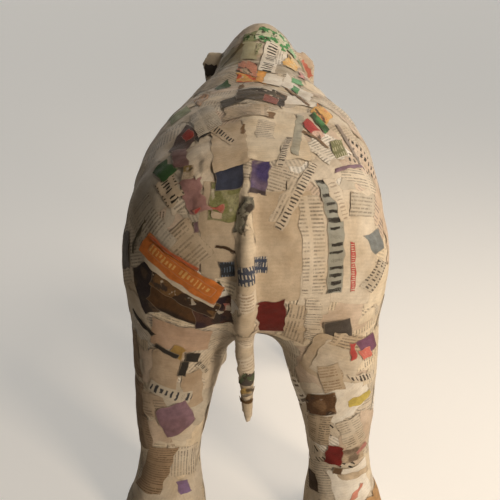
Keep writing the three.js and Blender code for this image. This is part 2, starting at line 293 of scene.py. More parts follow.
body = smoothed_copy("paper_shell", "paper_body")
crumpled(body.data)
body.data.polygons.foreach_set("use_smooth", [True] * len(body.data.polygons))
body.data.materials.clear()
body.data.materials.append(paper_material("body_paper", bare_sheet))
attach(body, "root")
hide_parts("paper_shell")

# ------------------------------------------------------------ pasted scraps
# Torn newspaper covers the shell in overlapping scraps: each is pressed down on
# what lies under it, raises it by a sheet's thickness and shows a torn rim.
SHEET_THICKNESS = 0.00020
RIM_PRESSED = 0.7
WEAVE, FINE_WEAVE = 0.003, 0.0015
RIM_REACH = 0.004
TEAR_STRAY, TEAR_STEP, TEAR_FRAY = 0.011, 0.22, 0.0007
LOWEST_SCRAP = 0.012
UNDER_LAYERS, UNDER_SCRAPS = 3, 62
UNDER_LONG, UNDER_SHORT = (0.075, 0.11), (0.050, 0.080)
OVER_LAYERS, OVER_SCRAPS = 4, 80
OVER_LONG, OVER_SHORT = (0.038, 0.070), (0.024, 0.048)
KINDS = ("text", "headline", "picture", "block", "solid", "plain")
TEXT_PITCH = 3.4
PRINT_SEEDS, PRINT_SHIFTS = 90, 60
COLUMN_WIDTH = 43.0
STROKE_SPACING = 0.36
WORN_LEAST, WORN_MOST, SHOW_THROUGH = 0.38, 0.80, 0.10
PICTURE_DARK, PICTURE_LIGHT = (0.045, 0.035, 0.03, 1), (0.72, 0.66, 0.56, 1)
NEWS, WHITE, CREAM = (0.66, 0.60, 0.51), (0.84, 0.82, 0.77), (0.76, 0.68, 0.55)
PINKISH, GREYISH = (0.64, 0.54, 0.45), (0.55, 0.51, 0.44)
BLACK, NAVY = (0.03, 0.028, 0.026), (0.03, 0.045, 0.12)
chooser = random.Random(7)

corners = np.empty(len(body.data.vertices) * 3)
body.data.vertices.foreach_get("co", corners)
corners = corners.reshape(-1, 3)
faces = np.array([(list(polygon.vertices) * 2)[:4] for polygon in body.data.polygons])
surface = BVHTree.FromPolygons([Vector(c) for c in corners], [tuple(face) for face in faces])


def faces_beside(faces, corner_count):
    """For each face, the numbers of the faces that share a corner with it; -1 fills the gaps."""
    most = 8
    order = np.argsort(faces.ravel(), kind="stable")
    owners = faces.ravel()[order]
    starts = np.searchsorted(owners, np.arange(corner_count))
    turn = np.arange(len(owners)) - starts[owners]
    table = np.full((corner_count, most), -1)
    kept = turn < most
    table[owners[kept], turn[kept]] = order[kept] // faces.shape[1]
    return table[faces].reshape(len(faces), -1)


beside = faces_beside(faces, len(corners))
paper_height = np.zeros(len(faces) + 1)


def hop(place, across, up, by_across, by_up):
    """Steps over the surface, turns the two directions with it, and says which face it met."""
    place, normal, number, _ = surface.find_nearest(place + across * by_across + up * by_up)
    across = (across - normal * across.dot(normal)).normalized()
    return place, across, normal.cross(across), number


def outline(columns, rows, width, height, ragged):
    """The sheet's own (across, up) for each point, with pulled corners and torn edges."""
    a, b = np.meshgrid(np.linspace(-1, 1, columns), np.linspace(-1, 1, rows), indexing="ij")
    pull = [[chooser.uniform(-ragged, ragged * 0.3) for _ in range(2)] for _ in range(4)]
    weights = [(1 + side * a) * (1 + end * b) / 4 for side, end in ((-1, -1), (1, -1), (1, 1), (-1, 1))]
    wide = 1 + sum(w * p[0] for w, p in zip(weights, pull))
    tall = 1 + sum(w * p[1] for w, p in zip(weights, pull))
    tears = [tear(count, ragged) for count in (rows, rows, columns, columns)]
    side = np.where(a > 0, tears[0][None, :], tears[1][None, :])
    end = np.where(b > 0, tears[2][:, None], tears[3][:, None])
    u = a * width / 2 * wide + np.sign(a) * np.abs(a) ** 4 * side
    v = b * height / 2 * tall + np.sign(b) * np.abs(b) ** 4 * end
    return u, v


def tear(count, ragged):
    """How far a torn edge strays at each of its points, in metres."""
    start = chooser.uniform(0, 50)
    slow = [noise.noise(Vector((start + i * TEAR_STEP, 0, 0))) * TEAR_STRAY for i in range(count)]
    quick = [chooser.uniform(-1, 1) * TEAR_FRAY for _ in range(count)]
    return (np.array(slow) + np.array(quick)) * min(1, ragged * 4)


def spread(values):
    """Each cell takes the greatest value of the cells round it."""
    padded = np.pad(values, 1, mode="edge")
    rows, columns = values.shape
    around = [padded[i : i + rows, j : j + columns] for i in range(3) for j in range(3)]
    return np.max(around, axis=0)


class Layer:
    """Scraps that make one object: their points, faces and what is printed on them."""

    def __init__(self, name):
        self.name = name
        self.points, self.faces, self.kinds = [], [], []
        self.values = {"print": [], "ink": [], "tint": [], "sheet": [], "torn": [], "pitch": []}
        self.patches = []


def lay(layer, at, across, width, height, kind, ink, sheet=NEWS, tint=None, pitch=None, turn=0,
        lean=0, ragged=0.16, weave=WEAVE, centred=False):
    """Presses one torn scrap on the surface round `at`, its rows of print along `across`."""
    place, normal, _, _ = surface.find_nearest(Vector(at))
    across = (across - normal * across.dot(normal)).normalized()
    across.rotate(Matrix.Rotation(math.radians(turn), 3, normal))
    columns, rows = (max(3, round(size / weave) + 1) for size in (width, height))
    print_u, print_v = outline(columns, rows, width, height, ragged)
    u = print_u + print_v * math.sin(math.radians(lean))
    v = print_v * math.cos(math.radians(lean))
    points = np.empty((columns, rows, 3))
    under = np.empty((columns, rows), int)
    centre, middle = columns // 2, rows // 2
    start = hop(place, across, normal.cross(across), u[centre, middle], v[centre, middle])
    spine = [None] * columns
    spine[centre] = start
    for step, stop in ((1, columns), (-1, -1)):
        state = start
        for i in range(centre + step, stop, step):
            by_across = u[i, middle] - u[i - step, middle]
            state = hop(*state[:3], by_across, v[i, middle] - v[i - step, middle])
            spine[i] = state
    for i in range(columns):
        points[i, middle], under[i, middle] = spine[i][0], spine[i][3]
        for step, stop in ((1, rows), (-1, -1)):
            state = spine[i]
            for j in range(middle + step, stop, step):
                state = hop(*state[:3], u[i, j] - u[i, j - step], v[i, j] - v[i, j - step])
                points[i, j], under[i, j] = state[0], state[3]
    near = beside[under]
    level = spread(paper_height[near].max(axis=-1))
    level = (spread(level) + level) / 2 + SHEET_THICKNESS
    pressed = np.ones((columns, rows))
    pressed[0], pressed[-1], pressed[:, 0], pressed[:, -1] = 0, 0, 0, 0
    np.maximum.at(paper_height, near.ravel(), np.repeat(level.ravel(), near.shape[-1]))
    paper_height[-1] = 0
    along, beyond = np.gradient(points, axis=0), np.gradient(points, axis=1)
    normals = np.cross(along, beyond)
    normals /= np.maximum(np.linalg.norm(normals, axis=2, keepdims=True), 1e-12)
    points = points + normals * (level - (1 - pressed) * SHEET_THICKNESS * RIM_PRESSED)[..., None]
    points[..., 2] = np.maximum(points[..., 2], 0)
    first = len(layer.points)
    index = np.arange(columns * rows).reshape(columns, rows) + first
    quads = [index[:-1, :-1], index[1:, :-1], index[1:, 1:], index[:-1, 1:]]
    quads = np.stack(quads, axis=-1).reshape(-1, 4)
    layer.points.extend(points.reshape(-1, 3).tolist())
    layer.faces.extend(quads.tolist())
    layer.kinds.extend([KINDS.index(kind)] * len(quads))
    pitch = pitch or TEXT_PITCH
    seed = chooser.uniform(0, PRINT_SEEDS)
    shift_across = chooser.uniform(0, PRINT_SHIFTS)
    shift_up = pitch / 2 if centred else chooser.uniform(0, PRINT_SHIFTS)
    reach = np.minimum.reduce([
        np.minimum(np.arange(columns), np.arange(columns)[::-1])[:, None] * np.ones((1, rows)),
        np.minimum(np.arange(rows), np.arange(rows)[::-1])[None, :] * np.ones((columns, 1)),
    ]) * weave * 1000
    for across_mm, up_mm in zip(print_u.ravel() * 1000, print_v.ravel() * 1000):
        layer.values["print"].append((across_mm + shift_across, up_mm + shift_up, seed))
    layer.values["torn"].extend(np.minimum(reach, RIM_REACH * 1000).ravel().tolist())
    many = columns * rows
    layer.values["ink"].extend([(*ink, 1)] * many)
    layer.values["tint"].extend([(*(tint or ink), 1)] * many)
    layer.values["sheet"].extend([(*sheet, 1)] * many)
    layer.values["pitch"].extend([pitch] * many)
    layer.patches.append((u, v))


def cells(tree, print_at):
    """Across, up and seed of the print, in millimetres."""
    node = tree.nodes.new("ShaderNodeSeparateXYZ")
    fed(tree, node.inputs[0], print_at)
    return node.outputs


def off_middle(tree, share):
    """How far a share of a cell is from the cell's middle."""
    return maths(tree, "ABSOLUTE", maths(tree, "SUBTRACT", share, 0.5))


def either_way(tree, value, reach, middle=0.0):
    """A value from 0 to 1 spread evenly to `reach` on both sides of `middle`."""
    return maths(tree, "MULTIPLY_ADD", value, 2 * reach, middle - reach)


def rows_group():
    """Rows of body print: broken dashes in columns, with gaps between words and short last rows."""
    tree, given, out = group(
        "print_rows", [("Print", "Vector", None), ("Pitch", "Float", TEXT_PITCH)], [("Mask", "Float")]
    )
    x, y, seed = cells(tree, given["Print"])
    lines = maths(tree, "DIVIDE", y, given["Pitch"])
    row, high = maths(tree, "FLOOR", lines), maths(tree, "FRACT", lines)
    columns = maths(tree, "ADD", maths(tree, "DIVIDE", x, COLUMN_WIDTH), seed)
    column, wide = maths(tree, "FLOOR", columns), maths(tree, "FRACT", columns)
    band = ramp(tree, off_middle(tree, high), 0.16, 0.32, 1.0, 0.0)
    gutter = ramp(tree, off_middle(tree, wide), 0.45, 0.465, 1.0, 0.0)
    row_seed = maths(tree, "MULTIPLY_ADD", row, 7.3, seed)
    word = vector_of(tree, maths(tree, "MULTIPLY", x, 0.42), row_seed, column)
    words = ramp(tree, noisy(tree, word, 1.0, 0), 0.28, 0.40, 0.15, 1.0)
    dash = vector_of(tree, maths(tree, "MULTIPLY", x, 2.1), maths(tree, "MULTIPLY", y, 0.8), row_seed)
    strokes = ramp(tree, noisy(tree, dash, 1.0, 1), 0.34, 0.60, 0.30, 1.0)
    end = chance(tree, column, row, seed)
    short = maths(tree, "GREATER_THAN", chance(tree, row, column, seed), 0.84)
    cut = maths(tree, "MULTIPLY", short, maths(tree, "GREATER_THAN", wide, end))
    printed = maths(tree, "MULTIPLY", words, strokes)
    mask = maths(tree, "MULTIPLY", maths(tree, "MULTIPLY", band, gutter), printed)
    fed(tree, out["Mask"], maths(tree, "MULTIPLY", mask, maths(tree, "SUBTRACT", 1.0, cut)))
    return tree


def bars_group():
    """Rows of bold single strokes, all leaning one way at uneven heights, which form no letters."""
    tree, given, out = group(
        "print_bars", [("Print", "Vector", None), ("Pitch", "Float", 12.0)], [("Mask", "Float")]
    )
    x, y, seed = cells(tree, given["Print"])
    lines = maths(tree, "DIVIDE", y, given["Pitch"])
    row, high = maths(tree, "FLOOR", lines), maths(tree, "FRACT", lines)
    bent = noisy(tree, vector_of(tree, maths(tree, "DIVIDE", x, given["Pitch"]), lines, seed), 3.0, 1)
    sway = maths(tree, "MULTIPLY", either_way(tree, bent, 0.08), given["Pitch"])
    spacing = maths(tree, "MULTIPLY", given["Pitch"], STROKE_SPACING)
    stations = maths(tree, "DIVIDE", maths(tree, "ADD", x, sway), spacing)
    station, wide = maths(tree, "FLOOR", stations), maths(tree, "FRACT", stations)
    row_seed = maths(tree, "MULTIPLY_ADD", row, 3.1, seed)

    def drawn(number):
        return chance(tree, station, row_seed, float(number))

    lean = either_way(tree, chance(tree, row_seed, seed, 6.0), 0.4)
    slant = maths(tree, "ADD", lean, either_way(tree, drawn(1), 0.12))
    middle = maths(tree, "MULTIPLY_ADD", maths(tree, "SUBTRACT", high, 0.5), slant, 0.5)
    thick = maths(tree, "ADD", either_way(tree, drawn(2), 0.09, 0.21), either_way(tree, bent, 0.08))
    off = maths(tree, "ABSOLUTE", maths(tree, "SUBTRACT", wide, middle))
    bar = ramp(tree, maths(tree, "SUBTRACT", off, thick), -0.03, 0.03, 1.0, 0.0)
    reach = either_way(tree, drawn(3), 0.10, 0.30)
    level = either_way(tree, drawn(5), 0.07, 0.50)
    rise = maths(tree, "ABSOLUTE", maths(tree, "SUBTRACT", high, level))
    band = ramp(tree, maths(tree, "SUBTRACT", rise, reach), -0.02, 0.02, 1.0, 0.0)
    there = maths(tree, "GREATER_THAN", drawn(4), 0.10)
    fed(tree, out["Mask"], maths(tree, "MULTIPLY", maths(tree, "MULTIPLY", bar, band), there))
    return tree


def picture_group():
    """A printed picture torn past knowing: broad areas of two colours, dark masses, pale lights."""
    inputs = [("Print", "Vector", None), ("Main", "Color", None), ("Second", "Color", None)]
    tree, given, out = group(
        "print_picture", [*inputs, ("Pitch", "Float", TEXT_PITCH)], [("Colour", "Color")]
    )
    place = scaled(tree, given["Print"], maths(tree, "DIVIDE", TEXT_PITCH, given["Pitch"]))
    broad = noisy(tree, place, 0.045, 1.5, 0.5)
    mass = noisy(tree, shifted(tree, place, (31, 17, 5)), 0.06, 2, 0.5)
    light = noisy(tree, shifted(tree, place, (9, 71, 13)), 0.085, 1.5, 0.5)
    fine = noisy(tree, place, 0.5, 2, 0.6)
    colour = mixed(tree, ramp(tree, broad, 0.46, 0.53), given["Main"], given["Second"])
    colour = mixed(tree, ramp(tree, mass, 0.56, 0.63, 0.0, 0.85), colour, PICTURE_DARK)
    colour = mixed(tree, ramp(tree, light, 0.65, 0.71, 0.0, 0.7), colour, PICTURE_LIGHT)
    fed(tree, out["Colour"], toned(tree, colour, ramp(tree, fine, 0.25, 0.75, 0.75, 1.15)))
    return tree


PRINT_ROWS, PRINT_BARS, PRINT_PICTURE = rows_group(), bars_group(), picture_group()


def print_mask(tree, made):
    """Where a scrap carries ink, from its own print places and row pitch."""
    print_at, pitch = attribute(tree, "print", "Vector"), attribute(tree, "pitch", "Fac")
    return used(tree, made, Print=print_at, Pitch=pitch)["Mask"]


def print_text(tree):
    wear = noisy(tree, attribute(tree, "print", "Vector"), 0.05, 2)
    worn = ramp(tree, wear, 0.35, 0.65, WORN_LEAST, WORN_MOST)
    share = maths(tree, "MULTIPLY", print_mask(tree, PRINT_ROWS), worn)
    return mixed(tree, share, attribute(tree, "sheet"), attribute(tree, "ink"))


def print_headline(tree):
    mask = print_mask(tree, PRINT_BARS)
    return mixed(tree, mask, attribute(tree, "sheet"), attribute(tree, "ink"))


def print_picture(tree):
    made = used(
        tree, PRINT_PICTURE, Print=attribute(tree, "print", "Vector"), Main=attribute(tree, "ink"),
        Second=attribute(tree, "tint"), Pitch=attribute(tree, "pitch", "Fac"),
    )
    return made["Colour"]


def print_block(tree):
    mask = print_mask(tree, PRINT_BARS)
    return mixed(tree, mask, attribute(tree, "ink"), attribute(tree, "sheet"))


def print_solid(tree):
    cloud = noisy(tree, attribute(tree, "print", "Vector"), 0.12, 3, 0.6)
    return toned(tree, attribute(tree, "ink"), ramp(tree, cloud, 0.3, 0.7, 0.82, 1.12))


def print_plain(tree):
    """A sheet whose far side's print shows through a little."""
    share = maths(tree, "MULTIPLY", print_mask(tree, PRINT_ROWS), SHOW_THROUGH)
    return mixed(tree, share, attribute(tree, "sheet"), (0.25, 0.22, 0.18, 1))


PRINTERS = (print_text, print_headline, print_picture, print_block, print_solid, print_plain)
SCRAP_MATERIALS = [
    paper_material("printed_" + kind, printer) for kind, printer in zip(KINDS, PRINTERS)
]


def packed(patches):
    """Lays each scrap flat on the unit square in shelves, all at one scale."""
    sizes = [(u.max() - u.min(), v.max() - v.min()) for u, v in patches]
    order = sorted(range(len(patches)), key=lambda i: -sizes[i][1])
    gap = 0.004
    scale = 1 / math.sqrt(sum(w * h for w, h in sizes))
    while True:
        x = y = gap
        shelf = 0
        spots = {}
        for i in order:
            wide, high = sizes[i][0] * scale, sizes[i][1] * scale
            if x + wide + gap > 1:
                x, y, shelf = gap, y + shelf + gap, 0
            spots[i] = (x, y)
            x, shelf = x + wide + gap, max(shelf, high)
        if y + shelf + gap <= 1:
            break
        scale *= 0.97
    laid = []
    for i, (u, v) in enumerate(patches):
        flat = [(u - u.min()) * scale + spots[i][0], (v - v.min()) * scale + spots[i][1]]
        laid.append(np.stack(flat, axis=-1).reshape(-1, 2))
    return laid


def scrap_object(layer):
    mesh = bpy.data.meshes.new(layer.name)
    mesh.from_pydata(layer.points, [], layer.faces)
    for name, values in layer.values.items():
        kind = {"print": "FLOAT_VECTOR", "torn": "FLOAT", "pitch": "FLOAT"}.get(name, "FLOAT_COLOR")
        field = {"FLOAT_VECTOR": "vector", "FLOAT": "value", "FLOAT_COLOR": "color"}[kind]
        made = mesh.attributes.new(name, kind, "POINT")
        made.data.foreach_set(field, np.array(values, np.float32).ravel())
    flat = np.concatenate(packed(layer.patches))
    loops = np.empty(len(mesh.loops), int)
    mesh.loops.foreach_get("vertex_index", loops)
    mesh.uv_layers.new(name="OFBake").data.foreach_set("uv", flat[loops].astype(np.float32).ravel())
    for material in SCRAP_MATERIALS:
        mesh.materials.append(material)
    mesh.polygons.foreach_set("material_index", layer.kinds)
    mesh.polygons.foreach_set("use_smooth", [True] * len(mesh.polygons))
    made = bpy.data.objects.new(layer.name, mesh)
    bpy.context.scene.collection.objects.link(made)
    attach(made, "root")
    return made


centres = corners[faces].mean(axis=1)
diagonals = corners[faces[:, 2]] - corners[faces[:, 0]], corners[faces[:, 3]] - corners[faces[:, 1]]
areas = np.linalg.norm(np.cross(*diagonals), axis=1) / 2
reachable = areas * (centres[:, 2] > LOWEST_SCRAP)
picker = np.random.default_rng(11)
UP = Vector((0, 0, 1))


def least_covered(tries=10):
    """The barest of a few places picked at random."""
    found = picker.choice(len(faces), tries, p=reachable / reachable.sum())
    return Vector(centres[found[np.argmin(paper_height[found])]])


def room_at(place):
    """How thick the animal is under a point."""
    on, normal, _, _ = surface.find_nearest(place)
    through = surface.ray_cast(on - normal * 0.0005, -normal)
    return (through[3] or 1), normal


def level_direction(normal):
    side = UP.cross(normal)
    return side.normalized() if side.length > 0.3 else Vector((1, 0, 0))


INKS = [BLACK] * 3 + [(0.10, 0.09, 0.08)] * 5 + [(0.17, 0.15, 0.13)] * 3 + [NAVY]
SHEETS = [NEWS] * 7 + [CREAM] * 3 + [WHITE] + [PINKISH] * 2 + [GREYISH]
COLOURS = [
    (0.50, 0.035, 0.03), (0.60, 0.17, 0.03), (0.66, 0.42, 0.05), (0.04, 0.16, 0.06), (0.03, 0.05, 0.16),
    (0.16, 0.05, 0.20), (0.10, 0.16, 0.24), (0.06, 0.045, 0.04), (0.35, 0.24, 0.12), (0.22, 0.28, 0.12),
]
KIND_ODDS = {"text": 44, "headline": 7, "picture": 8, "block": 3, "solid": 5, "plain": 33}
QUIET_ODDS = {"text": 52, "headline": 4, "plain": 44}
EAR_THICK, HEAD_REACH, THICK_PLACE = 0.016, 0.03, 0.05
EAR_SCRAP, LEAST_SCRAP, MOST_OF_ROOM = 0.034, 0.016, 1.25
TURN_SPREAD, TURNS = 35, (0, 0, 0, 90, -90)
RAGGED, NEAT, NEAT_SIZE = 0.16, 0.07, 0.7
BOLD_PITCH, TEXT_PITCHES = (9, 19), (3.1, 3.4, 3.4, 3.8)
FRONT, TOP = -0.15, 0.8


def random_scrap(layer, long_side, short_side):
    at = least_covered()
    room, normal = room_at(at)
    on_ear = room < EAR_THICK and abs(at.x) > HEAD_REACH
    most = EAR_SCRAP if on_ear else max(LEAST_SCRAP, room * MOST_OF_ROOM)
    width = min(chooser.uniform(*long_side), most)
    height = min(chooser.uniform(*short_side), most)
    odds = QUIET_ODDS if normal.y < FRONT or normal.z > TOP else KIND_ODDS
    kind = chooser.choices(list(odds), odds.values())[0]
    turn = chooser.gauss(0, TURN_SPREAD) + chooser.choice(TURNS)
    coloured = kind in ("picture", "block", "solid")
    ink = chooser.choice(COLOURS if coloured else INKS)
    ragged = NEAT if coloured else RAGGED
    if coloured:
        width, height = width * NEAT_SIZE, height * NEAT_SIZE
    bold = kind in ("headline", "block")
    pitch = chooser.uniform(*BOLD_PITCH) if bold else chooser.choice(TEXT_PITCHES)
    lay(layer, at, level_direction(normal), width, height, kind, ink, chooser.choice(SHEETS),
        tint=chooser.choice(COLOURS), pitch=pitch, turn=turn, ragged=ragged,
        weave=WEAVE if room > THICK_PLACE else FINE_WEAVE)


def random_layers(name, layers, scraps, long_side, short_side):
    for number in range(layers):
        layer = Layer(f"{name}_{number + 1}")
        for _ in range(scraps):
            random_scrap(layer, long_side, short_side)
        scrap_object(layer)


random_layers("scraps_under", UNDER_LAYERS, UNDER_SCRAPS, UNDER_LONG, UNDER_SHORT)
random_layers("scraps_over", OVER_LAYERS, OVER_SCRAPS, OVER_LONG, OVER_SHORT)

# ------------------------------------------------------- scraps on the rump
# The last sheets to go on: large pale sheets and columns of print on the right,
# a bright banner over dark pictures on the left, all torn by hand.
RED, DEEP_RED, MAUVE = (0.48, 0.08, 0.08), (0.13, 0.014, 0.012), (0.36, 0.21, 0.21)
ORANGE, AMBER, DARK_BROWN = (0.62, 0.20, 0.045), (0.78, 0.48, 0.17), (0.055, 0.032, 0.018)
BEIGE, ASH, CHARCOAL = (0.56, 0.47, 0.36), (0.34, 0.36, 0.34), (0.085, 0.075, 0.07)
MM = 0.001
SMALL_SHEET, SMALL_WEAVE = 22, 0.002
LOOKS = {"back": (0, 1, 0), "top": (0, 0, -1), "right": (-1, 0, 0)}


def spot(side, across, up):
    """Where a line drawn straight in from one side meets the animal.

    `across` and `up` are percent of its box: across from the middle to the right
    hand, up from the floor; from above, up is from the middle to the front."""
    half = (cad_high - cad_low) / 2
    centre = (cad_high + cad_low) / 2
    high = cad_low.z + (cad_high.z - cad_low.z) * up / 100
    inward = Vector(LOOKS[side])
    if side == "top":
        start = Vector((centre.x + half.x * across / 100, centre.y + half.y * up / 100, 0))
    elif side == "right":
        start = Vector((0, centre.y + half.y * across / 100, high))
    else:
        start = Vector((centre.x + half.x * across / 100, 0, high))
    met = surface.ray_cast(start - inward, inward)
    return met[0], met[1]


def patch(layer, side, across, up, width, height, turn, kind, ink=BLACK, sheet=NEWS, lean=0,
          tint=None, pitch=None, ragged=0.07, weave=None):
    """One chosen scrap: its place on a side, its size and row pitch in millimetres."""
    at, normal = spot(side, across, up)
    level = Vector((0, 1, 0)).cross(normal) if side == "top" else UP.cross(normal)
    weave = weave or (SMALL_WEAVE if min(width, height) < SMALL_SHEET else WEAVE)
    lay(layer, at, level, width * MM, height * MM, kind, ink, sheet, tint=tint, pitch=pitch, turn=turn,
        lean=lean, ragged=ragged, weave=weave, centred=True)


rump = Layer("scraps_rump_right")
patch(rump, "back", 17, 71, 56, 104, 0, "plain", sheet=BEIGE)
patch(rump, "back", 38, 68, 34, 112, -3, "plain")
patch(rump, "back", 61, 69, 50, 110, -14, "plain", lean=-6)
patch(rump, "back", 34, 71, 22, 92, -5, "text", lean=-5, ink=CHARCOAL)
patch(rump, "back", 47, 72, 106, 17, 89, "headline", sheet=ASH, lean=5, pitch=20, ragged=0.05)
patch(rump, "back", 58, 66, 50, 6, 92, "block", ink=RED, lean=15, pitch=6, ragged=0.04)
patch(rump, "top", 19, -90, 46, 14, 76, "text", ink=CHARCOAL)
patch(rump, "top", 25, -88, 74, 9, 77, "headline", ink=CHARCOAL, pitch=10, ragged=0.04)
patch(rump, "top", 3, -85, 17, 40, 5, "picture", ink=(0.07, 0.055, 0.18), tint=(0.16, 0.12, 0.20),
      lean=5, pitch=7)
patch(rump, "back", 48, 78, 40, 12, -80, "headline", ink=(0.42, 0.36, 0.30), pitch=9)
patch(rump, "back", 64, 76, 38, 22, -17, "text", ink=CHARCOAL, sheet=GREYISH, lean=13)
patch(rump, "back", 73, 69, 26, 26, -4, "solid", ink=(0.22, 0.25, 0.27), lean=-35)
patch(rump, "back", 74, 63, 36, 22, 34, "headline", ink=CHARCOAL, sheet=GREYISH, lean=-24, pitch=9)
patch(rump, "back", 11, 57, 28, 52, 5, "solid", ink=DEEP_RED)
patch(rump, "back", 27, 55, 60, 26, 84, "text", ink=CHARCOAL, sheet=BEIGE, lean=16)
patch(rump, "back", 36, 56, 16, 60, -13, "text", ink=CHARCOAL, lean=-17)
patch(rump, "back", 52, 53, 27, 30, 2, "solid", ink=CHARCOAL, lean=-10, ragged=0.03)
scrap_object(rump)

hip = Layer("scraps_rump_left")
patch(hip, "back", -20, 74, 34, 90, 2, "plain", sheet=BEIGE)
patch(hip, "back", -40, 70, 44, 40, 45, "text", sheet=BEIGE)
patch(hip, "back", -62, 72, 40, 60, 55, "text", ink=CHARCOAL, sheet=GREYISH)
patch(hip, "back", -42, 77, 19, 10, 45, "text", pitch=4)
patch(hip, "back", -16, 78, 28, 36, 0, "picture", ink=(0.34, 0.34, 0.20), tint=(0.22, 0.23, 0.10))
patch(hip, "back", -21, 77, 13, 6, 5, "solid", ink=(0.42, 0.13, 0.10), ragged=0.12)
patch(hip, "back", -20, 76, 8, 6, 3, "plain", sheet=BEIGE)
patch(hip, "top", -34, -88, 20, 36, -3, "solid", ink=MAUVE, lean=-6, ragged=0.12)
patch(hip, "top", -14, -85, 26, 28, 0, "solid", ink=(0.045, 0.055, 0.095), ragged=0.05)
patch(hip, "top", -49, -84, 32, 20, -80, "headline", sheet=BEIGE, pitch=11)
patch(hip, "back", -32, 74, 5, 11, 7, "solid", ink=(0.20, 0.13, 0.16))
patch(hip, "back", -31, 76.5, 8, 3, 45, "solid", ink=RED)
patch(hip, "back", -15, 71, 22, 3, -10, "solid", ink=DARK_BROWN)
patch(hip, "back", -64, 61, 34, 48, 28, "picture", ink=(0.035, 0.025, 0.03),
      tint=(0.10, 0.07, 0.05), lean=9)
patch(hip, "back", -44, 59, 64, 34, -24, "picture", ink=(0.10, 0.05, 0.02),
      tint=(0.03, 0.02, 0.015), pitch=9)
patch(hip, "back", -24, 58, 40, 36, 21, "picture", ink=(0.035, 0.02, 0.03),
      tint=(0.09, 0.045, 0.035), lean=20)
patch(hip, "back", -20, 64, 9, 11, 26, "solid", ink=(0.03, 0.045, 0.015))
patch(hip, "back", -15, 60, 7, 9, 3, "picture", ink=RED, tint=NEWS)
patch(hip, "back", -41, 61.5, 70, 22, -26, "picture", ink=(0.05, 0.03, 0.02),
      tint=(0.17, 0.095, 0.04), lean=5, pitch=2)
patch(hip, "back", -45, 63.5, 80, 6, -27, "plain", lean=5, ragged=0.03)
patch(hip, "back", -43, 66, 88, 24, -28, "solid", ink=ORANGE, lean=8, ragged=0.05)
patch(hip, "back", -42, 66, 72, 11, -28, "block", ink=ORANGE, sheet=AMBER, lean=8, pitch=11,
      ragged=0.02)
patch(hip, "back", -46, 69, 56, 4, -24, "solid", ink=(0.52, 0.13, 0.05), lean=14, ragged=0.03)
patch(hip, "back", -69, 70, 42, 4, 65, "solid", ink=(0.09, 0.08, 0.05))
patch(hip, "back", -80, 66, 24, 38, 20, "solid", ink=(0.16, 0.15, 0.15))
scrap_object(hip)

# ------------------------------------------------- scraps over back and shoulders
# Sheets laid across the spine: pale ones in front of the tail, a dark arch of
# picture paper between the shoulders, colour strips down the right shoulder.
LEAF, MOSS, OLIVE = (0.10, 0.36, 0.15), (0.035, 0.10, 0.03), (0.20, 0.21, 0.10)
PALE_GREEN, TAN, BROWN = (0.50, 0.50, 0.36), (0.42, 0.28, 0.17), (0.24, 0.15, 0.085)
back = Layer("scraps_back")
patch(back, "top", 12, -66, 58, 88, 6, "plain", sheet=CREAM)
patch(back, "top", -16, -70, 34, 84, 20, "plain", sheet=BEIGE, lean=15)
patch(back, "top", -34, -78, 20, 40, 37, "plain", lean=20)
patch(back, "top", 26, -63, 90, 8, 85, "solid", ink=(0.46, 0.46, 0.40), lean=11, ragged=0.03)
patch(back, "top", 18, -74, 56, 7, 80, "headline", ink=CHARCOAL, pitch=8, ragged=0.03)
patch(back, "top", -54, -77, 18, 28, 23, "solid", ink=MOSS, ragged=0.08)
patch(back, "top", -45, -63, 34, 56, -63, "solid", ink=(0.08, 0.045, 0.04), lean=-45, ragged=0.08)
patch(back, "top", -43, -60, 14, 22, 49, "solid", ink=(0.30, 0.03, 0.02), lean=32)
patch(back, "top", -45, -74, 17, 36, -22, "solid", ink=(0.19, 0.11, 0.11), lean=-28)
patch(back, "top", -38, -82, 11, 15, -6, "picture", ink=(0.26, 0.18, 0.07), tint=BEIGE)
patch(back, "top", -33, -62, 22, 13, 50, "solid", lean=34, ragged=0.3)
patch(back, "top", -20, -64, 44, 16, -61, "block", ink=BEIGE, sheet=BLACK, lean=-39, pitch=14,
      ragged=0.04)
patch(back, "top", -8, -62, 4, 20, -22, "solid", ink=BROWN, lean=-19)
patch(back, "top", 6, -62, 18, 36, 9, "text", ink=CHARCOAL, lean=9)
patch(back, "top", 6, -51, 18, 17, -6, "solid", ink=BROWN)
patch(back, "top", -34, -50, 34, 72, 43, "text", sheet=GREYISH, lean=31)
patch(back, "top", -7, -48, 44, 38, 0, "text", ink=CHARCOAL, sheet=BEIGE, pitch=4.2)
patch(back, "top", -17, -35, 38, 34, 49, "solid", ink=(0.05, 0.04, 0.026), lean=41)
patch(back, "top", 14, -31, 30, 60, -55, "picture", ink=(0.16, 0.10, 0.06),
      tint=(0.06, 0.045, 0.03), lean=-49)
patch(back, "top", -1, -29, 48, 56, -23, "picture", ink=(0.10, 0.08, 0.055),
      tint=(0.04, 0.03, 0.02), lean=-24)
patch(back, "top", 9, -36, 22, 26, -42, "solid", ink=(0.30, 0.10, 0.08), lean=-37)
patch(back, "top", -41, -21, 50, 44, 80, "picture", ink=(0.50, 0.27, 0.12), tint=TAN, lean=65,
      pitch=2)
patch(back, "top", -28, -2, 25, 38, 51, "solid", ink=MOSS, lean=42)
patch(back, "top", -55, -34, 30, 44, 42, "solid", ink=(0.34, 0.40, 0.26), lean=29)
patch(back, "top", -13, -10, 12, 34, 61, "solid", ink=BROWN, lean=56)
patch(back, "top", -10, 3, 30, 30, -33, "picture", ink=(0.70, 0.16, 0.08), tint=AMBER, lean=-32)
patch(back, "top", 2, 2, 15, 52, -29, "solid", ink=(0.80, 0.42, 0.14), lean=-27)
patch(back, "top", 11, 0, 24, 46, -15, "plain", sheet=WHITE, lean=-12)
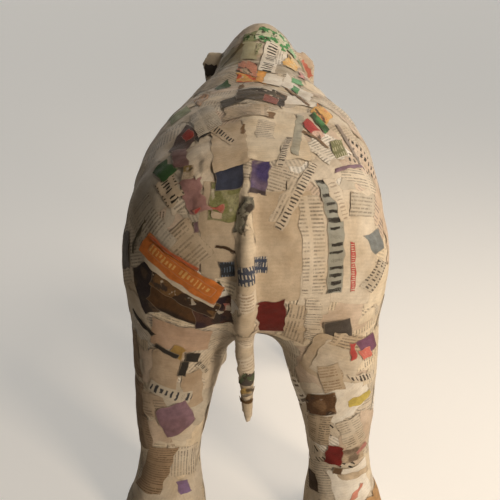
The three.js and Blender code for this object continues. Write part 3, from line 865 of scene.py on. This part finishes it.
patch(back, "top", 29, -10, 88, 60, -69, "plain", sheet=WHITE, lean=-62)
patch(back, "top", 28, -24, 80, 10, -71, "solid", ink=BROWN, lean=-64)
patch(back, "top", 30, 6, 14, 18, 2, "solid", ink=(0.20, 0.46, 0.26))
patch(back, "top", 28, -10, 22, 46, -72, "solid", ink=LEAF, lean=-66)
patch(back, "top", 44, -41, 36, 48, -64, "picture", ink=AMBER, tint=(0.74, 0.36, 0.15), lean=-51)
patch(back, "top", 36, -58, 36, 19, -61, "picture", ink=RED, tint=(0.72, 0.52, 0.44), lean=-41)
patch(back, "top", 41, -51, 40, 17, -64, "picture", ink=(0.07, 0.30, 0.09), tint=MOSS, lean=-46)
patch(back, "top", 37, -64, 34, 5, -40, "solid", ink=BROWN, lean=-25, ragged=0.03)
patch(back, "top", 51, -65, 26, 34, 60, "block", ink=OLIVE, sheet=PALE_GREEN, lean=49, pitch=12)
patch(back, "top", 59, -57, 70, 8, -65, "solid", ink=(0.30, 0.26, 0.24), lean=-45, ragged=0.04)
patch(back, "top", 57, -74, 50, 7, 53, "solid", ink=(0.24, 0.16, 0.22), lean=50)
scrap_object(back)

# ------------------------------------------------------- scraps on head and ears
# Whiter sheets cover the head, with a green mottled print over its crown and a
# strip of bold strokes; the small ears are bent card skinned with thin scraps.
crown = Layer("scraps_head")
patch(crown, "top", -25, 34, 50, 60, -40, "plain", sheet=(0.40, 0.36, 0.24), lean=-20)
patch(crown, "top", -9, 33, 24, 50, -29, "plain", sheet=PALE_GREEN, lean=-23)
patch(crown, "top", 18, 30, 26, 70, 0, "plain", sheet=WHITE)
patch(crown, "top", -10, 14, 37, 46, -49, "picture", ink=(0.60, 0.28, 0.20),
      tint=(0.62, 0.48, 0.36), lean=-46)
patch(crown, "top", -8, 43, 22, 22, -12, "picture", ink=MOSS, tint=(0.30, 0.34, 0.20), pitch=1.4)
patch(crown, "top", 4, 44, 24, 34, -9, "picture", ink=LEAF, tint=(0.66, 0.72, 0.58), pitch=1.4)
patch(crown, "top", 17, 43, 28, 48, -20, "picture", ink=LEAF, tint=(0.72, 0.78, 0.66), lean=-13,
      pitch=1.4)
patch(crown, "top", 8, 25, 104, 22, 87, "headline", sheet=WHITE, lean=5, pitch=19, ragged=0.04)
patch(crown, "top", 16, 29, 60, 9, 90, "text", ink=CHARCOAL, sheet=WHITE)
patch(crown, "top", -2, 34, 30, 6, 77, "headline", ink=MOSS, sheet=PALE_GREEN, lean=23, pitch=7)
patch(crown, "top", -24, 37, 48, 8, 30, "solid", ink=(0.16, 0.13, 0.07), lean=18)
patch(crown, "top", 26, 28, 22, 60, -22, "picture", ink=AMBER, tint=(0.80, 0.60, 0.32), lean=-17)
patch(crown, "top", 28, 44, 16, 20, 9, "solid", ink=(0.36, 0.60, 0.40), lean=15)
patch(crown, "right", 45, 89.5, 22, 12, -72, "solid", ink=(0.42, 0.58, 0.40), lean=21)
patch(crown, "top", 35, 18, 9, 40, -1, "solid", ink=(0.58, 0.32, 0.33))
patch(crown, "back", -46, 90, 34, 34, 0, "plain", sheet=CREAM, ragged=0.02, weave=FINE_WEAVE)
patch(crown, "back", -46, 87.5, 19, 16, 0, "solid", ink=CHARCOAL, weave=FINE_WEAVE)
patch(crown, "back", 42, 90, 34, 38, 0, "plain", sheet=PINKISH, ragged=0.02, weave=FINE_WEAVE)
patch(crown, "back", 43, 88, 28, 7, -58, "solid", ink=(0.58, 0.20, 0.16), weave=FINE_WEAVE)
scrap_object(crown)

# ------------------------------------------------------------ scraps on the legs
# Each hind leg is a pillar wrapped with short sheets: bold strokes and a purple
# sheet on the left, a purple block, a yellow patch and deep red on the right.
YELLOW, PINK, KRAFT = (0.62, 0.52, 0.14), (0.62, 0.36, 0.33), (0.52, 0.33, 0.17)
PURPLE, VIOLET = (0.19, 0.085, 0.16), (0.24, 0.17, 0.34)
right_leg = Layer("scraps_leg_right")
patch(right_leg, "back", 46, 47, 40, 56, -20, "plain", sheet=BEIGE)
patch(right_leg, "back", 55, 46, 48, 46, -20, "plain")
patch(right_leg, "back", 60, 50, 44, 16, -24, "text", ink=CHARCOAL, sheet=BEIGE)
patch(right_leg, "back", 50, 42, 22, 34, 16, "text", ink=BROWN, sheet=BEIGE)
patch(right_leg, "back", 73, 48, 28, 26, 0, "solid", ink=PURPLE, lean=-34, ragged=0.04)
patch(right_leg, "back", 71, 46.5, 17, 15, -5, "block", ink=(0.60, 0.17, 0.14), sheet=PINK,
      lean=-35, pitch=12)
patch(right_leg, "back", 62, 48, 7, 20, -12, "solid", ink=RED, lean=-17)
patch(right_leg, "back", 72, 41, 38, 13, -11, "headline", ink=CHARCOAL, lean=-40, pitch=13)
patch(right_leg, "back", 71, 36, 29, 12, 13, "solid", ink=YELLOW, lean=-23)
# Partly painted shade: this dark brown picture sheet on the leg's inner side carries its own brown
# print and also stands in for the shade there.
patch(right_leg, "back", 44, 35, 34, 30, 14, "picture", ink=(0.13, 0.07, 0.035),
      tint=(0.26, 0.16, 0.09), lean=18)
patch(right_leg, "back", 44, 28, 28, 44, 8, "text", sheet=BEIGE, lean=17)
patch(right_leg, "back", 67, 28, 26, 44, 22, "text", ink=CHARCOAL)
patch(right_leg, "back", 68, 22, 26, 19, 5, "picture", ink=(0.22, 0.17, 0.13), tint=BEIGE, lean=-15)
patch(right_leg, "back", 56, 22, 18, 28, -9, "solid", ink=(0.18, 0.015, 0.015))
patch(right_leg, "back", 74, 23, 17, 6, 34, "solid", ink=(0.46, 0.22, 0.21))
patch(right_leg, "back", 70, 14, 44, 52, 15, "plain", sheet=WHITE)
patch(right_leg, "back", 72, 16.5, 38, 10, 0, "solid", ink=BEIGE, lean=-28)
patch(right_leg, "back", 73, 12, 24, 5, 52, "solid", ink=(0.66, 0.28, 0.22))
patch(right_leg, "back", 43, 12, 22, 24, 20, "solid", ink=DARK_BROWN)
patch(right_leg, "back", 59, 18, 9, 10, -7, "solid", ink=(0.13, 0.08, 0.045))
patch(right_leg, "right", -71, 7, 36, 34, -10, "solid", ink=KRAFT)
scrap_object(right_leg)

left_leg = Layer("scraps_leg_left")
# Painted shade: the left leg's plain and text sheets are darker copies of the paper on the right leg,
# for the side turned away from the key light. Their brown and charcoal print is their own.
patch(left_leg, "back", -46, 51, 60, 36, -10, "plain", sheet=(0.52, 0.38, 0.29))
patch(left_leg, "back", -57, 43, 30, 50, -4, "plain", sheet=(0.46, 0.37, 0.28), lean=8)
patch(left_leg, "back", -79, 44, 26, 52, 6, "text", ink=DARK_BROWN, sheet=(0.38, 0.29, 0.21))
patch(left_leg, "back", -78, 34, 24, 46, -4, "text", ink=DARK_BROWN, sheet=(0.34, 0.26, 0.19))
patch(left_leg, "back", -76, 26, 24, 46, 3, "text", ink=DARK_BROWN, sheet=(0.34, 0.26, 0.19))
patch(left_leg, "back", -66, 34, 26, 30, 8, "text", ink=CHARCOAL, sheet=(0.44, 0.36, 0.28))
patch(left_leg, "back", -40, 38, 22, 50, 4, "plain", sheet=(0.46, 0.37, 0.28))
patch(left_leg, "back", -34, 27, 16, 44, 0, "plain", sheet=(0.44, 0.36, 0.26))
patch(left_leg, "back", -71, 52.5, 36, 8, -31, "solid", lean=20)
patch(left_leg, "back", -48, 47.5, 14, 16, -36, "solid", ink=(0.36, 0.24, 0.08), lean=-11)
patch(left_leg, "back", -55, 47.5, 26, 6, -28, "solid", ragged=0.04)
patch(left_leg, "back", -39, 46, 15, 12, -13, "solid", lean=-10)
patch(left_leg, "back", -45, 43.5, 8, 20, -15, "solid")
patch(left_leg, "back", -33, 43, 19, 7, -56, "headline", sheet=GREYISH, pitch=7)
patch(left_leg, "back", -55, 37.5, 46, 16, -19, "block", ink=GREYISH, sheet=(0.04, 0.045, 0.06),
      pitch=15, ragged=0.04)
patch(left_leg, "back", -52, 31, 38, 40, 31, "solid", ink=(0.24, 0.15, 0.20), lean=13, ragged=0.06)
patch(left_leg, "back", -49, 19, 44, 38, 90, "text", ink=CHARCOAL, lean=12)
patch(left_leg, "back", -69, 17, 32, 72, 2, "text", ink=DARK_BROWN, sheet=(0.38, 0.28, 0.19),
      lean=23)
patch(left_leg, "back", -50, 12, 14, 19, -6, "solid", ink=VIOLET, lean=-18)
patch(left_leg, "right", -75, 7, 34, 26, -10, "solid", ink=KRAFT)
scrap_object(left_leg)

# ------------------------------------------------------------ scraps on the tail
# The tail is a rolled strip of paper that lies down the rump and hangs free
# below it: mostly plain, with a striped slate sheet across and a dark print near its end.
SLATE_IN_TAIL_SHADOW = (0.12, 0.17, 0.25)
tail = Layer("scraps_tail")
for up in (70.5, 64, 57, 50, 44, 38):
    patch(tail, "back", -3.5, up, 21, 42, (up * 7) % 19 - 9, "plain", sheet=(0.60, 0.52, 0.41),
          weave=SMALL_WEAVE)
for up, turn in ((62, 8), (52, -12), (46, 15)):
    patch(tail, "back", -2.5, up, 16, 22, turn, "text", ink=BROWN, weave=SMALL_WEAVE)
# Painted shadow: the strip's piece left of the tail has near-black ink on a dark slate sheet, standing
# for the tail's cast shadow. The pieces on and right of the tail are lighter.
patch(tail, "back", -14, 67.5, 15, 14, 7, "block", ink=(0.03, 0.035, 0.045), sheet=SLATE_IN_TAIL_SHADOW, pitch=7,
      ragged=0.03)
patch(tail, "back", 3, 68.5, 16, 15, -7, "block", ink=(0.05, 0.065, 0.11), sheet=GREYISH, pitch=7,
      ragged=0.03)
patch(tail, "back", -3.5, 67, 15, 17, 4, "block", ink=(0.06, 0.075, 0.12), sheet=GREYISH, pitch=7,
      ragged=0.03)
patch(tail, "back", -5.5, 76.5, 11, 34, 2, "picture", ink=(0.13, 0.13, 0.11),
      tint=(0.32, 0.31, 0.25), pitch=1.6)
patch(tail, "back", -3.5, 43, 14, 16, -15, "picture", ink=(0.10, 0.13, 0.08), tint=CHARCOAL,
      pitch=1.2)
patch(tail, "back", -3.5, 40, 13, 11, -13, "picture", ink=(0.46, 0.32, 0.12), tint=NEWS)
patch(tail, "back", -4.5, 38, 13, 6, 0, "solid", ink=(0.12, 0.07, 0.03))
scrap_object(tail)

# ------------------------------------------------------------------- studio
# A plain pale floor and soft light: a warm key from behind the animal's right,
# a dim sky all round and a bright wall far in front of it.
FLOOR_SIZE, FLOOR_GLOW = 60, 0.42
FLOOR_COLOUR, GLOW_COLOUR = (0.62, 0.60, 0.57, 1), (0.95, 0.93, 0.88, 1)
KEY_AT, KEY_SIZE, KEY_POWER = Vector((0.98, -1.30, 0.42)), 0.32, 17.5
TOP_AT, TOP_SIZE, TOP_POWER = Vector((0.76, -0.10, 0.92)), 0.6, 8
WALL_STRENGTH, WALL_TINT, SKY_GLOW = 1.5, (1.0, 0.93, 0.84), (0.068, 0.057, 0.046)
BACKDROP = (0.46, 0.45, 0.43, 1)
bpy.ops.mesh.primitive_plane_add(size=FLOOR_SIZE)
floor = bpy.context.object
floor.name = "floor"
floor_finish = bpy.data.materials.new("pale_floor")
floor_finish.use_nodes = True
tree = floor_finish.node_tree
floor_shader = tree.nodes["Principled BSDF"]
floor_shader.inputs["Base Color"].default_value = FLOOR_COLOUR
floor_shader.inputs["Roughness"].default_value = 0.8
floor_shader.inputs["Emission Color"].default_value = GLOW_COLOUR
seen = tree.nodes.new("ShaderNodeLightPath").outputs["Is Camera Ray"]
glow = maths(tree, "MULTIPLY", seen, FLOOR_GLOW)
fed(tree, floor_shader.inputs["Emission Strength"], glow)
floor.data.materials.append(floor_finish)


def lamp(name, place, target, size, power, colour):
    made = bpy.data.objects.new(name, bpy.data.lights.new(name, "AREA"))
    bpy.context.scene.collection.objects.link(made)
    made.data.size, made.data.energy, made.data.color = size, power, colour
    made.location = place
    made.rotation_euler = (Vector(target) - Vector(place)).to_track_quat("-Z", "Y").to_euler()


middle = (cad_low + cad_high) / 2
lamp("key", middle + KEY_AT, middle, KEY_SIZE, KEY_POWER, (1, 0.82, 0.62))
lamp("top", middle + TOP_AT, middle, TOP_SIZE, TOP_POWER, (1, 0.85, 0.68))
sky = bpy.data.worlds.new("sky")
bpy.context.scene.world = sky
sky.use_nodes = True
tree = sky.node_tree
towards = tree.nodes.new("ShaderNodeSeparateXYZ")
fed(tree, towards.inputs[0], tree.nodes.new("ShaderNodeTexCoord").outputs["Generated"])
ahead = ramp(tree, towards.outputs["Y"], 0.35, 0.95, 0.0, WALL_STRENGTH)
low = ramp(tree, towards.outputs["Z"], 0.15, 0.60, 1.0, 0.0)
seen = tree.nodes.new("ShaderNodeLightPath").outputs["Is Camera Ray"]
wall = maths(tree, "MULTIPLY", ahead, low)
lit = [maths(tree, "MULTIPLY_ADD", wall, tint, dim) for tint, dim in zip(WALL_TINT, SKY_GLOW)]
colour = mixed(tree, seen, vector_of(tree, *lit), BACKDROP)
fed(tree, tree.nodes["Background"].inputs["Color"], colour)
bpy.context.scene.view_settings.view_transform = "Standard"

# ------------------------------------------------------------------- camera
# The viewer stands behind the animal and looks down on it a little.
LENS, SENSOR = 50.68, 36
YAW, PITCH, ROLL = 1.489, 22.064, -0.122
CAMERA_AT = (0.01194, -0.8629, 0.59397)
camera = bpy.data.objects.new("camera", bpy.data.cameras.new("camera"))
bpy.context.scene.collection.objects.link(camera)
camera.data.lens, camera.data.sensor_width = LENS, SENSOR
camera.location = CAMERA_AT
look = Matrix.Rotation(math.radians(YAW), 4, "Z") @ Matrix.Rotation(math.radians(90 - PITCH), 4, "X")
camera.rotation_euler = (look @ Matrix.Rotation(math.radians(-ROLL), 4, "Z")).to_euler()
bpy.context.scene.camera = camera
